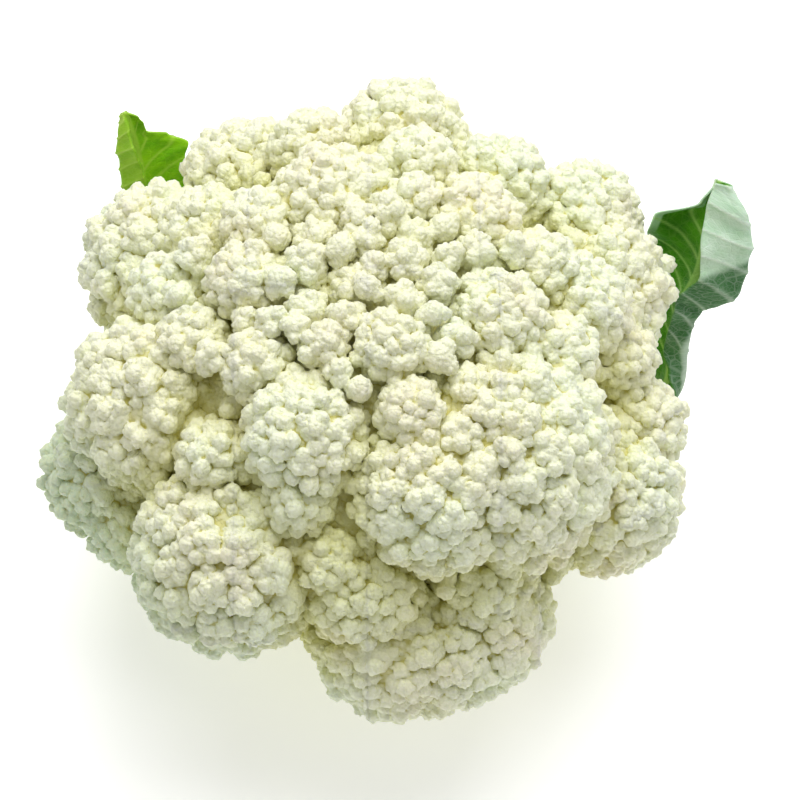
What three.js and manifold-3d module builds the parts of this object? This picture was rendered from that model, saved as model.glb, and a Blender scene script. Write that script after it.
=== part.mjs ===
// A head of cauliflower as cut for sale: a curd of florets on a short cut stalk, with two wrapper leaves left on
// and the stubs of the trimmed ones. Millimetres, +Z up, origin at the centre of the stalk's cut face.
import * as THREE from "three";
import { ConvexHull } from "three/addons/math/ConvexHull.js";
import { mergeVertices } from "three/addons/utils/BufferGeometryUtils.js";
import Module from "manifold-3d";

const wasm = await Module();
wasm.setup();

// Driving dimensions
const HEAD_CENTRE = new THREE.Vector3(0, 0, 64);
const GOLDEN_ANGLE = 137.508;
const GAP = 0.3;

// Curd: the outline that the florets fill, the smaller core they stand out of, and the buds that cover them
const HEAD_HALF = new THREE.Vector3(88, 92, 66);
const CORE_HALF = new THREE.Vector3(64, 67, 38);
const CORE_LIFT = 6;
const CORE_SIDES = 16;
const ROOT_DEPTH = 25;
const BUD_PITCH = 18.5;
const BUD_HEIGHT = 0.17;
const BUD_JITTER = 0.16;
const BUD_UNEVEN = 0.05;
const BUD_CAP = 74;
const RING_PLACE = 0.42;
const FEWEST_BUDS = 5;
const SKIRT_SIDES = 6;
const SKIRT_RISE = -12;
const FOOT_RISE = -58;
const FOOT_REACH = 1.75;

// The florets as seen from the front, looking down at this angle: how far each stands across and up from the head's
// middle, its dome's radius, and how far it is lifted out of the outline or sunk in it
const VIEW_RISE = 60;
const FLORETS = [
  { name: "back", across: 10, up: 72, radius: 19, lift: 0 },
  { name: "back left", across: -32, up: 59, radius: 21, lift: 0 },
  { name: "back right", across: 36, up: 58, radius: 18, lift: 0 },
  { name: "upper right back", across: 57, up: 48, radius: 19, lift: 0 },
  { name: "upper right", across: 62, up: 30, radius: 24, lift: 3 },
  { name: "right top", across: 70, up: -3, radius: 18, lift: -3 },
  { name: "right", across: 63, up: -25, radius: 25, lift: -2 },
  { name: "front right", across: 37, up: -16, radius: 33, lift: 4 },
  { name: "front middle", across: 8, up: -30, radius: 20, lift: 2 },
  { name: "front", across: 8, up: -61, radius: 26, lift: -2 },
  { name: "front low right", across: 33, up: -56, radius: 22, lift: -3 },
  { name: "front left", across: -34, up: -43, radius: 29, lift: 0 },
  { name: "low left", across: -67, up: -23, radius: 22, lift: -3 },
  { name: "left", across: -58, up: -1, radius: 25, lift: 3 },
  { name: "upper left", across: -52, up: 37, radius: 25, lift: 0 },
  { name: "top left", across: -8, up: 50, radius: 21, lift: 2 },
  { name: "top right", across: 28, up: 46, radius: 18, lift: 0 },
  { name: "crown right", across: 34, up: 20, radius: 18, lift: 0 },
  { name: "crown front", across: 7, up: 13, radius: 15, lift: 0 },
  { name: "shoulder left", across: -28, up: 10, radius: 14, lift: 0 },
  { name: "crown left", across: -31, up: 30, radius: 16, lift: 0 },
  { name: "middle left", across: -15, up: -9, radius: 20, lift: 2 },
  { name: "middle low", across: -17, up: -26, radius: 13, lift: -3 },
  { name: "young left", across: -11, up: 26, radius: 12, lift: -1 },
  { name: "young right", across: 10, up: 31, radius: 13, lift: -1 },
  { name: "left inner", across: -42, up: -18, radius: 14, lift: -3 },
  { name: "left upper inner", across: -44, up: 14, radius: 15, lift: -2 },
  { name: "right inner", across: 50, up: 12, radius: 14, lift: -2 },
  { name: "right upper inner", across: 46, up: 34, radius: 14, lift: -1 },
  { name: "front gap", across: 14, up: -6, radius: 14, lift: -1 },
  { name: "back top", across: 14, up: 62, radius: 14, lift: 0 },
  { name: "back top left", across: -14, up: 67, radius: 15, lift: 0 },
  { name: "top gap left", across: -28, up: 46, radius: 13, lift: -1 },
  { name: "top gap right", across: 23, up: 32, radius: 12, lift: -2 },
  { name: "crown gap", across: -8, up: 6, radius: 12, lift: -2 },
  { name: "young back", across: 2, up: 40, radius: 12, lift: -2 },
];

// The florets that the head hides from there, by their bearing from +X and their rise above the level
const HIDDEN_FLORETS = [
  { name: "under front right", bearing: -45, rise: -22, radius: 20 },
  { name: "under front left", bearing: -140, rise: -22, radius: 20 },
  { name: "under left", bearing: 172, rise: -16, radius: 21 },
  { name: "back low left", bearing: 115, rise: -8, radius: 20 },
  { name: "under back", bearing: 88, rise: -14, radius: 24 },
  { name: "under back right", bearing: 52, rise: -14, radius: 24 },
  { name: "back middle", bearing: 103, rise: 4, radius: 22 },
  { name: "under right", bearing: -14, rise: -24, radius: 16 },
  { name: "shade front", bearing: -90, rise: 8, radius: 20, lift: -10 },
  { name: "shade right", bearing: -62, rise: 2, radius: 20, lift: -9 },
  { name: "back shoulder", bearing: 142, rise: 30, radius: 18 },
  { name: "side shoulder", bearing: 166, rise: 32, radius: 16 },
  { name: "right shoulder", bearing: 12, rise: 26, radius: 17 },
];

// Stalk: a cut cylinder that widens into the curd's neck, and its trimmed leaf stubs
const STALK_RADIUS = 21;
const STALK_WAIST = { radius: 19.5, height: 18 };
const STALK_HEAD = 20.5;
const STALK_TOP = 30;
const NECK_HEIGHT = 24;
const NECK_RADIUS = 38;
const STALK_SIDES = 28;
const FIRST_LEAF_BEARING = 10;
const STUB_COUNT = 5;
const STUB = { length: 25, root: 8, halfWidth: 10, narrowing: 0.3, thickness: 8, height: 11, lift: 4 };
const STUB_SIDES = 8;
const STUB_STEPS = 4;

// Leaves: points of the midrib from inside the stalk to the tip, the way that the inner face looks, and along the
// midrib the rib's thickness, the widths of the halves, how far each half leans towards the inner face, and how far
// it is folded over in its middle
const BLADE_THICKNESS = 1.2;
const LEAF_STATIONS = 20;
const LEAF_STEPS = 8;
const RIB_REACH = 5;
const FOLD_PLACE = [0.34, 0.62];
const RUFFLE = { depth: 1.2, waves: 4.5 };
const LEAF_RIGHT = {
  midrib: [
    [15.8, 2.8, 14], [44, 8, 17], [70, 15, 26], [84, 18, 39], [86, 26, 49],
    [88, 34, 58], [92, 40, 66], [94, 48, 76], [96, 54, 85],
  ],
  face: [-0.6, -0.4, 0.7],
  ribThickness: [9, 8, 7, 6, 5, 4, 3, 2.2, 1.4],
  left: {
    width: [9, 8, 7, 6, 11, 17, 21, 20, 4],
    lean: [20, 20, 20, 0, -12, -14, -12, -5, 0],
    fold: [30, 30, 20, 10, 0, 0, 10, 70, 60],
  },
  right: {
    width: [9, 8, 7, 6, 10, 25, 32, 30, 6],
    lean: [20, 20, 20, 10, -10, -25, -25, -20, -10],
    fold: [30, 30, 20, 40, 110, 140, 150, 165, 100],
  },
};
const LEAF_LEFT = {
  midrib: [
    [-13.5, 8.6, 12], [-38, 24, 15], [-58, 45, 24], [-66, 62, 42], [-63.5, 69.5, 62],
    [-65, 76.5, 74], [-67.5, 81, 83],
  ],
  face: [0.25, -0.5, 0.8],
  ribThickness: [9, 8, 7, 5.5, 4, 2.6, 1.4],
  left: {
    width: [9, 8, 7, 8, 13, 12, 3],
    lean: [20, 20, 20, 10, 0, 0, 0],
    fold: [30, 30, 20, 60, 140, 140, 80],
  },
  right: {
    width: [9, 8, 7, 8, 17, 17, 3],
    lean: [20, 20, 20, 5, -5, 0, 0],
    fold: [30, 30, 20, 0, 10, 20, 10],
  },
};

const CURD_COLOUR = 0xeeebcf;
const STALK_COLOUR = 0xc9d8a0;
const LEAF_COLOURS = { leaf_left: 0x5aa516, leaf_right: 0x3f8f4c };

// Solids and geometries

// A closed geometry as a solid, with the vertices that its faces share merged.
function solidOf(geometry) {
  const bare = new THREE.BufferGeometry().setAttribute("position", geometry.getAttribute("position"));
  const merged = mergeVertices(bare.setIndex(geometry.index));
  const vertProperties = merged.getAttribute("position").array;
  const triVerts = new Uint32Array(merged.index.array);
  return new wasm.Manifold(new wasm.Mesh({ numProp: 3, vertProperties, triVerts }));
}

function geometryOf(solid) {
  const { vertProperties, triVerts } = solid.getMesh();
  const geometry = new THREE.BufferGeometry();
  geometry.setAttribute("position", new THREE.BufferAttribute(new Float32Array(vertProperties), 3));
  geometry.setIndex(new THREE.BufferAttribute(new Uint32Array(triVerts), 1));
  geometry.computeVertexNormals();
  return geometry;
}

function indexedGeometry(points, triangles) {
  const geometry = new THREE.BufferGeometry().setFromPoints(points);
  geometry.setIndex(triangles.flat());
  return geometry;
}

// The outer surface of a geometry: of its separate surfaces the one with the most triangles, so that the closed
// pockets between grown-together pieces are filled.
function outerSurface(geometry) {
  const corners = Array.from(geometry.index.array);
  const leader = Array.from({ length: geometry.getAttribute("position").count }, (_, i) => i);
  const leaderOf = (i) => {
    while (leader[i] !== i) i = leader[i] = leader[leader[i]];
    return i;
  };
  corners.forEach((corner, k) => {
    leader[leaderOf(corner)] = leaderOf(corners[k - (k % 3)]);
  });
  const sizes = new Map();
  for (const corner of corners) sizes.set(leaderOf(corner), (sizes.get(leaderOf(corner)) ?? 0) + 1);
  const largest = [...sizes].reduce((best, entry) => (entry[1] > best[1] ? entry : best))[0];
  return geometry.setIndex(corners.filter((corner) => leaderOf(corner) === largest));
}

// A repeatable draw from 0 to 1 for the number n.
function scatter(n) {
  const wave = Math.sin(n * 12.9898) * 43758.5453;
  return wave - Math.floor(wave);
}

function direction(bearing, rise) {
  const polar = THREE.MathUtils.degToRad(90 - rise);
  const turn = THREE.MathUtils.degToRad(bearing);
  const level = Math.sin(polar);
  return new THREE.Vector3(level * Math.cos(turn), level * Math.sin(turn), Math.cos(polar));
}

// Curd

// The middle of a dome that touches the head's outline from inside, from the head's centre, at a place in the view.
function middleInView({ across, up, radius, lift }) {
  const angle = THREE.MathUtils.degToRad(VIEW_RISE);
  const upward = new THREE.Vector3(0, Math.sin(angle), Math.cos(angle));
  const toEye = new THREE.Vector3(0, -Math.cos(angle), Math.sin(angle));
  const half = HEAD_HALF.clone().addScalar(lift - radius);
  const near = new THREE.Vector3(across, 0, 0).addScaledVector(upward, up);
  const start = near.clone().divide(half);
  const run = toEye.clone().divide(half);
  const slope = start.dot(run) / run.lengthSq();
  const rest = Math.max(0, slope ** 2 - (start.lengthSq() - 1) / run.lengthSq());
  return near.addScaledVector(toEye, Math.sqrt(rest) - slope);
}

function middleByBearing({ bearing, rise, radius, lift = 0 }) {
  const way = direction(bearing, rise);
  const half = HEAD_HALF.clone().addScalar(lift - radius);
  return way.multiplyScalar(1 / way.clone().divide(half).length());
}

// Every floret's dome: its middle and radius, and the way it faces, away from the root of the branches.
function allDomes() {
  const florets = [...FLORETS, ...HIDDEN_FLORETS];
  return florets.map((floret) => {
    const middle = "across" in floret ? middleInView(floret) : middleByBearing(floret);
    const outward = middle.clone().add(new THREE.Vector3(0, 0, ROOT_DEPTH)).normalize();
    return { middle, outward, radius: floret.radius };
  });
}

// Directions of buds from straight up down to a cap's edge: a golden-angle spiral, each nudged a little. The cap is
// the share of the sphere's height that it takes.
function budWays(count, cap, seed) {
  const pitch = Math.sqrt((4 * Math.PI * cap) / count);
  return Array.from({ length: count }, (_, i) => {
    const height = 1 - (2 * cap * (i + 0.5)) / count;
    const way = direction(i * GOLDEN_ANGLE, THREE.MathUtils.radToDeg(Math.asin(height)));
    const nudge = [0, 1, 2].map((k) => (scatter(seed + 3 * i + k) - 0.5) * 2 * BUD_JITTER * pitch);
    return way.add(new THREE.Vector3(...nudge)).normalize();
  });
}

// The faces of the hull that meet at a vertex, in order round it.
function facesRound(start) {
  const faces = [];
  let edge = start;
  do {
    faces.push(edge.face);
    edge = edge.next.twin;
  } while (edge !== start);
  return faces;
}

// For each vertex of the hull, an edge that arrives at it.
function arrivalEdges(hull) {
  const arrivals = new Map();
  for (const face of hull.faces) {
    for (const k of [0, 1, 2]) {
      const edge = face.getEdge(k);
      arrivals.set(edge.head().point, edge);
    }
  }
  return arrivals;
}

// A closed body round its centre, covered with buds. Each bud fills the directions nearest to its own: the corners
// of that cell lie in the valleys between buds, and a ring and a peak rise from them. Plain directions have no ring.
// The body's size along a direction is reach(direction).
function buddedBody(budded, plain, reach, seed) {
  const ways = [...budded, ...plain];
  const hull = new ConvexHull().setFromPoints(ways);
  const arrivals = arrivalEdges(hull);
  const points = [];
  const triangles = [];
  const add = (way, fullness) => {
    const unit = way.clone().normalize();
    return points.push(unit.clone().multiplyScalar(fullness * reach(unit))) - 1;
  };
  const valleys = new Map(hull.faces.map((face) => [face, add(face.normal, 1 - BUD_HEIGHT)]));
  ways.forEach((way, i) => {
    const hasBud = i < budded.length;
    const faces = facesRound(arrivals.get(way));
    const corners = faces.map((face) => valleys.get(face));
    const full = hasBud ? 1 - BUD_UNEVEN * scatter(seed + 7 * i) : 1 - BUD_HEIGHT;
    const peak = add(way, full);
    const shoulder = (face) => add(face.normal.clone().lerp(way, RING_PLACE), full - BUD_HEIGHT / 4);
    const ring = hasBud ? faces.map(shoulder) : corners;
    faces.forEach((_, k) => {
      const next = (k + 1) % faces.length;
      triangles.push([peak, ring[next], ring[k]]);
      if (hasBud) triangles.push([ring[k], corners[next], corners[k]], [ring[k], ring[next], corners[next]]);
    });
  });
  return indexedGeometry(points, triangles);
}

// A floret, facing +Z: buds over its cap, and a plain column below that roots it.
function floretDome(radius, seed) {
  const cap = (1 - Math.cos(THREE.MathUtils.degToRad(BUD_CAP))) / 2;
  const cells = (4 * Math.PI * cap * radius ** 2) / (BUD_PITCH ** 2 * Math.sqrt(0.75));
  const buds = Math.max(FEWEST_BUDS, Math.round(cells));
  const circle = (rise) => Array.from({ length: SKIRT_SIDES }, (_, i) => direction((i * 360) / SKIRT_SIDES, rise));
  const footTop = direction(0, FOOT_RISE + 1).z;
  const reach = (way) => radius * (way.z < footTop ? FOOT_REACH : 1);
  return buddedBody(budWays(buds, cap, seed), [...circle(SKIRT_RISE), ...circle(FOOT_RISE)], reach, seed);
}

function curdSolid() {
  const neck = new THREE.CylinderGeometry(NECK_RADIUS, STALK_RADIUS, NECK_HEIGHT, STALK_SIDES);
  neck.rotateX(Math.PI / 2).translate(0, 0, STALK_TOP + GAP + NECK_HEIGHT / 2);
  const core = new THREE.SphereGeometry(1, CORE_SIDES, CORE_SIDES / 2).rotateX(Math.PI / 2).scale(...CORE_HALF);
  core.translate(0, 0, CORE_LIFT).translate(...HEAD_CENTRE);
  let curd = solidOf(core).add(solidOf(neck));
  allDomes().forEach(({ middle, outward, radius }, i) => {
    const turn = new THREE.Quaternion().setFromUnitVectors(new THREE.Vector3(0, 0, 1), outward);
    const dome = floretDome(radius, 1000 * (i + 1)).applyQuaternion(turn);
    dome.translate(...middle).translate(...HEAD_CENTRE);
    curd = curd.add(solidOf(dome));
  });
  return solidOf(outerSurface(geometryOf(curd)));
}

// Stalk

// A closed body through rings of points, each ring the same length, with a flat cap at both ends.
function loft(rings) {
  const size = rings[0].length;
  const points = rings.flat();
  const triangles = [];
  for (let i = 0; i + 1 < rings.length; i++) {
    for (let k = 0; k < size; k++) {
      const next = (k + 1) % size;
      const [a, b, c, d] = [i * size + k, i * size + next, (i + 1) * size + next, (i + 1) * size + k];
      triangles.push([a, b, c], [a, c, d]);
    }
  }
  const last = points.length - size;
  for (let k = 1; k + 1 < size; k++) triangles.push([0, k + 1, k], [last, last + k, last + k + 1]);
  return indexedGeometry(points, triangles);
}

// A trimmed leaf's stub: an oval petiole that leaves the stalk, turns up a little and is cut square.
function stub(bearing, height) {
  const out = direction(bearing, 0);
  const side = new THREE.Vector3(-out.y, out.x, 0);
  const run = STUB.length + STUB.root;
  const rings = Array.from({ length: STUB_STEPS + 1 }, (_, i) => {
    const share = i / STUB_STEPS;
    const spine = out.clone().multiplyScalar(STALK_RADIUS - STUB.root + run * share);
    spine.z = height + STUB.lift * share ** 2;
    const lean = Math.atan2(2 * STUB.lift * share, run);
    const up = new THREE.Vector3(0, 0, Math.cos(lean)).addScaledVector(out, -Math.sin(lean));
    return Array.from({ length: STUB_SIDES }, (_, k) => {
      const angle = (2 * Math.PI * k) / STUB_SIDES;
      const across = STUB.halfWidth * (1 - STUB.narrowing * share) * Math.cos(angle);
      const high = (STUB.thickness / 2) * Math.sin(angle);
      return spine.clone().addScaledVector(side, across).addScaledVector(up, high);
    });
  });
  return loft(rings);
}

// The stalk's column, wider all round by grow, which also cuts back the foot of a leaf.
function stalkColumn(grow) {
  const profile = [[0, 0], [STALK_RADIUS + grow, 0], [STALK_WAIST.radius + grow, STALK_WAIST.height]];
  profile.push([STALK_HEAD + grow, STALK_TOP], [0, STALK_TOP]);
  const column = new THREE.LatheGeometry(profile.map(([r, z]) => new THREE.Vector2(r, z)), STALK_SIDES);
  return solidOf(column.rotateX(Math.PI / 2));
}

function stalkSolid() {
  let stalk = stalkColumn(0);
  for (let i = 0; i < STUB_COUNT; i++) {
    const bearing = FIRST_LEAF_BEARING + (i + 2) * GOLDEN_ANGLE;
    stalk = stalk.add(solidOf(stub(bearing, STUB.height - i)));
  }
  return stalk;
}

// Leaves

// The value at share 0 to 1 along an evenly spaced list, easing from one entry to the next.
function along(list, share) {
  const place = THREE.MathUtils.clamp(share, 0, 1) * (list.length - 1);
  const i = Math.min(Math.floor(place), list.length - 2);
  return THREE.MathUtils.lerp(list[i], list[i + 1], THREE.MathUtils.smoothstep(place - i, 0, 1));
}

// One half of the blade at a station, from the midrib to its edge: points and the surface's normals there.
function halfSection(half, share, spine, side, face) {
  const step = along(half.width, share) / LEAF_STEPS;
  const lean = THREE.MathUtils.degToRad(along(half.lean, share));
  const fold = THREE.MathUtils.degToRad(along(half.fold, share));
  const point = spine.clone();
  return Array.from({ length: LEAF_STEPS }, (_, k) => {
    const place = (k + 1) / LEAF_STEPS;
    const turn = lean + fold * THREE.MathUtils.smoothstep(place, ...FOLD_PLACE);
    point.addScaledVector(side, step * Math.cos(turn)).addScaledVector(face, step * Math.sin(turn));
    const normal = face.clone().multiplyScalar(Math.cos(turn)).addScaledVector(side, -Math.sin(turn));
    const ruffle = RUFFLE.depth * place ** 3 * Math.sin(2 * Math.PI * RUFFLE.waves * share);
    return { point: point.clone().addScaledVector(normal, ruffle), normal, reach: step * (k + 1) };
  });
}

// A leaf as one closed body: petiole, midrib and blade, thick along the rib and thin at the edges.
function leafGeometry(leaf) {
  const midrib = new THREE.CatmullRomCurve3(leaf.midrib.map((p) => new THREE.Vector3(...p)), false, "centripetal");
  const rings = Array.from({ length: LEAF_STATIONS + 1 }, (_, i) => {
    const share = i / LEAF_STATIONS;
    const tangent = midrib.getTangent(share);
    const face = new THREE.Vector3(...leaf.face);
    face.addScaledVector(tangent, -face.dot(tangent)).normalize();
    const side = tangent.clone().cross(face);
    const spine = midrib.getPoint(share);
    const left = halfSection(leaf.left, share, spine, side.clone().negate(), face).reverse();
    const right = halfSection(leaf.right, share, spine, side, face);
    const section = [...left, { point: spine, normal: face, reach: 0 }, ...right];
    const rib = along(leaf.ribThickness, share) - BLADE_THICKNESS;
    const half = ({ reach }) => (BLADE_THICKNESS + rib * Math.exp(-((reach / RIB_REACH) ** 2))) / 2;
    const inner = section.map((s) => s.point.clone().addScaledVector(s.normal, half(s)));
    const outer = section.map((s) => s.point.clone().addScaledVector(s.normal, -half(s)));
    return { inner, outer };
  });
  return bladeMesh(rings);
}

// Two sheets of points, split into triangles alike, closed along their edges.
function bladeMesh(rings) {
  const wide = rings[0].inner.length;
  const long = rings.length;
  const points = [...rings.flatMap((r) => r.inner), ...rings.flatMap((r) => r.outer)];
  const inner = (i, k) => i * wide + k;
  const outer = (i, k) => (long + i) * wide + k;
  const triangles = [];
  const quad = (a, b, c, d) => triangles.push([a, b, c], [a, c, d]);
  for (let i = 0; i + 1 < long; i++) {
    for (let k = 0; k + 1 < wide; k++) {
      quad(inner(i, k), inner(i, k + 1), inner(i + 1, k + 1), inner(i + 1, k));
      triangles.push([outer(i, k), outer(i + 1, k + 1), outer(i, k + 1)]);
      triangles.push([outer(i, k), outer(i + 1, k), outer(i + 1, k + 1)]);
    }
    quad(outer(i, 0), inner(i, 0), inner(i + 1, 0), outer(i + 1, 0));
    quad(inner(i, wide - 1), outer(i, wide - 1), outer(i + 1, wide - 1), inner(i + 1, wide - 1));
  }
  for (let k = 0; k + 1 < wide; k++) {
    quad(outer(0, k), outer(0, k + 1), inner(0, k + 1), inner(0, k));
    quad(inner(long - 1, k), inner(long - 1, k + 1), outer(long - 1, k + 1), outer(long - 1, k));
  }
  return indexedGeometry(points, triangles);
}

// Assembly

function part(name, solid, colour, roughness) {
  const material = new THREE.MeshStandardMaterial({ color: colour, roughness, metalness: 0 });
  const mesh = new THREE.Mesh(geometryOf(solid), material);
  mesh.name = name;
  return mesh;
}

const cauliflower = new THREE.Group();
cauliflower.name = "cauliflower";
cauliflower.add(part("curd", curdSolid(), CURD_COLOUR, 0.75));
cauliflower.add(part("stalk", stalkSolid(), STALK_COLOUR, 0.6));
for (const [name, leaf] of Object.entries({ leaf_left: LEAF_LEFT, leaf_right: LEAF_RIGHT })) {
  const blade = solidOf(leafGeometry(leaf)).subtract(stalkColumn(GAP));
  cauliflower.add(part(name, blade, LEAF_COLOURS[name], 0.5));
}

export default cauliflower;
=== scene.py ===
import math

import bpy
import numpy as np
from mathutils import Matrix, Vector
from mathutils.geometry import delaunay_2d_cdt


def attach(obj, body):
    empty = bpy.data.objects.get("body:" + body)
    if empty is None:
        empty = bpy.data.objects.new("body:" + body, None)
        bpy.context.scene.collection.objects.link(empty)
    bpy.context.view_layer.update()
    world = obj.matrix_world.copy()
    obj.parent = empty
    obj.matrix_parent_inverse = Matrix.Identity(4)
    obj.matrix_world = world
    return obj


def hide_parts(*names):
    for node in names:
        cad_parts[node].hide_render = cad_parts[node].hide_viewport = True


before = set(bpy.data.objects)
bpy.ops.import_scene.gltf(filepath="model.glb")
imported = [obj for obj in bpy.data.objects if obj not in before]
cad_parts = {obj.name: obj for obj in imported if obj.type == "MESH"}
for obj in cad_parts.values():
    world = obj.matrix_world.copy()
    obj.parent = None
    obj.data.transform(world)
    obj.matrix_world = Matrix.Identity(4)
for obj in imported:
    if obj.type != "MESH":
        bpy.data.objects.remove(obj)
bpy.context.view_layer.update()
mm = 0.001
goldenAngle = 137.508  # degrees, spreads the core's balls and the leaf stubs evenly


class Value:  # a node's output that can stand in a sum
    def __init__(self, maker, socket):
        self.maker = maker
        self.socket = socket

    def also(self, name):  # another output of the same node
        return Value(self.maker, self.socket.node.outputs[name])

    def __add__(self, other):
        return self.maker.maths("ADD", self, other)

    def __radd__(self, other):
        return self.maker.maths("ADD", other, self)

    def __sub__(self, other):
        return self.maker.maths("SUBTRACT", self, other)

    def __rsub__(self, other):
        return self.maker.maths("SUBTRACT", other, self)

    def __mul__(self, other):
        return self.maker.maths("MULTIPLY", self, other)

    def __rmul__(self, other):
        return self.maker.maths("MULTIPLY", other, self)

    def __truediv__(self, other):
        return self.maker.maths("DIVIDE", self, other)

    def __rtruediv__(self, other):
        return self.maker.maths("DIVIDE", other, self)

    def __gt__(self, other):
        return self.maker.maths("GREATER_THAN", self, other)

    def __lt__(self, other):
        return self.maker.maths("LESS_THAN", self, other)


class NodeMaker:
    def __init__(self, tree):
        self.tree = tree

    def add(self, kind, settings=None, sockets=None, out=0):
        node = self.tree.nodes.new(kind)
        for name, value in (settings or {}).items():
            setattr(node, name, value)
        for key, value in (sockets or {}).items():
            for one in value if isinstance(value, list) else [value]:
                if isinstance(one, Value):
                    self.tree.links.new(one.socket, node.inputs[key])
                else:
                    node.inputs[key].default_value = one
        return Value(self, node.outputs[out]) if node.outputs else None

    def maths(self, operation, a, b=0.0):
        return self.add("ShaderNodeMath", {"operation": operation}, {0: a, 1: b})

    def vectors(self, operation, a, b=None, out=0):
        sockets = {0: a} if b is None else {0: a, 1: b}
        return self.add("ShaderNodeVectorMath", {"operation": operation}, sockets, out)

    def ease(self, value, low, high, first=0.0, last=1.0):  # a soft step from low to high
        return self.add("ShaderNodeMapRange", {"interpolation_type": "SMOOTHSTEP"},
                        {"Value": value, "From Min": low, "From Max": high, "To Min": first, "To Max": last})

    def mix(self, share, a, b):  # the node's colours are its inputs 6 and 7 and its output 2
        first, second = (colour if isinstance(colour, Value) else (*colour, 1) for colour in (a, b))
        return self.add("ShaderNodeMix", {"data_type": "RGBA"}, {0: share, 6: first, 7: second}, 2)

    def noise(self, place, scale, detail):
        return self.add("ShaderNodeTexNoise", None, {"Vector": place, "Scale": scale, "Detail": detail})

    def cells(self, place, feature, scale, randomness=1.0):
        return self.add("ShaderNodeTexVoronoi", {"feature": feature},
                        {"Vector": place, "Scale": scale, "Randomness": randomness})

    def attribute(self, name):
        return self.add("ShaderNodeAttribute", {"attribute_name": name}, None, "Fac")

    def bump(self, strength, distance, height):
        return self.add("ShaderNodeBump", None,
                        {"Strength": strength, "Distance": mm * distance, "Height": height})

    def surface(self, sockets):  # the shader and the material's output
        shader = self.add("ShaderNodeBsdfPrincipled", None, sockets)
        self.add("ShaderNodeOutputMaterial", None, {"Surface": shader})


def newTree(name, inputs):  # a geometry tree with named inputs
    tree = bpy.data.node_groups.new(name, "GeometryNodeTree")
    for label, kind in inputs:
        tree.interface.new_socket(label, in_out="INPUT", socket_type="NodeSocket" + kind)
    tree.interface.new_socket("Geometry", in_out="OUTPUT", socket_type="NodeSocketGeometry")
    maker = NodeMaker(tree)
    return maker, maker.add("NodeGroupInput")


def runTree(holder, tree, values):  # the tree's result as a plain mesh
    modifier = holder.modifiers.new(tree.name, "NODES")
    modifier.node_group = tree
    for item in tree.interface.items_tree:
        if item.in_out == "INPUT" and item.name in values:
            modifier[item.identifier] = values[item.name]
    holder.update_tag()
    graph = bpy.context.evaluated_depsgraph_get()
    mesh = bpy.data.meshes.new_from_object(holder.evaluated_get(graph), depsgraph=graph)
    holder.modifiers.remove(modifier)
    return mesh


def newMaterial(name, preview):
    material = bpy.data.materials.new(name)
    material.use_nodes = True
    material.diffuse_color = (*preview, 1)
    material.node_tree.nodes.clear()
    return material, NodeMaker(material.node_tree)


def showObject(name, mesh):
    thing = bpy.data.objects.new(name, mesh)
    bpy.context.scene.collection.objects.link(thing)
    return thing


def finishPiece(piece, node):
    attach(piece, "root")
    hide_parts(node)


def numbers(items, name, width=1, kind=np.float32):  # a mesh's values as an array
    found = np.empty(len(items) * width, kind)
    items.foreach_get(name, found)
    return found.reshape(-1, width) if width > 1 else found


def setValues(mesh, label, column):  # one number for each point
    layer = mesh.attributes.new(label, "FLOAT", "POINT")
    layer.data.foreach_set("value", column.astype(np.float32))


def unit(vector):
    return vector / np.linalg.norm(vector)


def unitRows(rows):
    return rows / np.linalg.norm(rows, axis=1)[:, None]


def inMetres(values):
    return tuple(mm * value for value in values)


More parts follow.
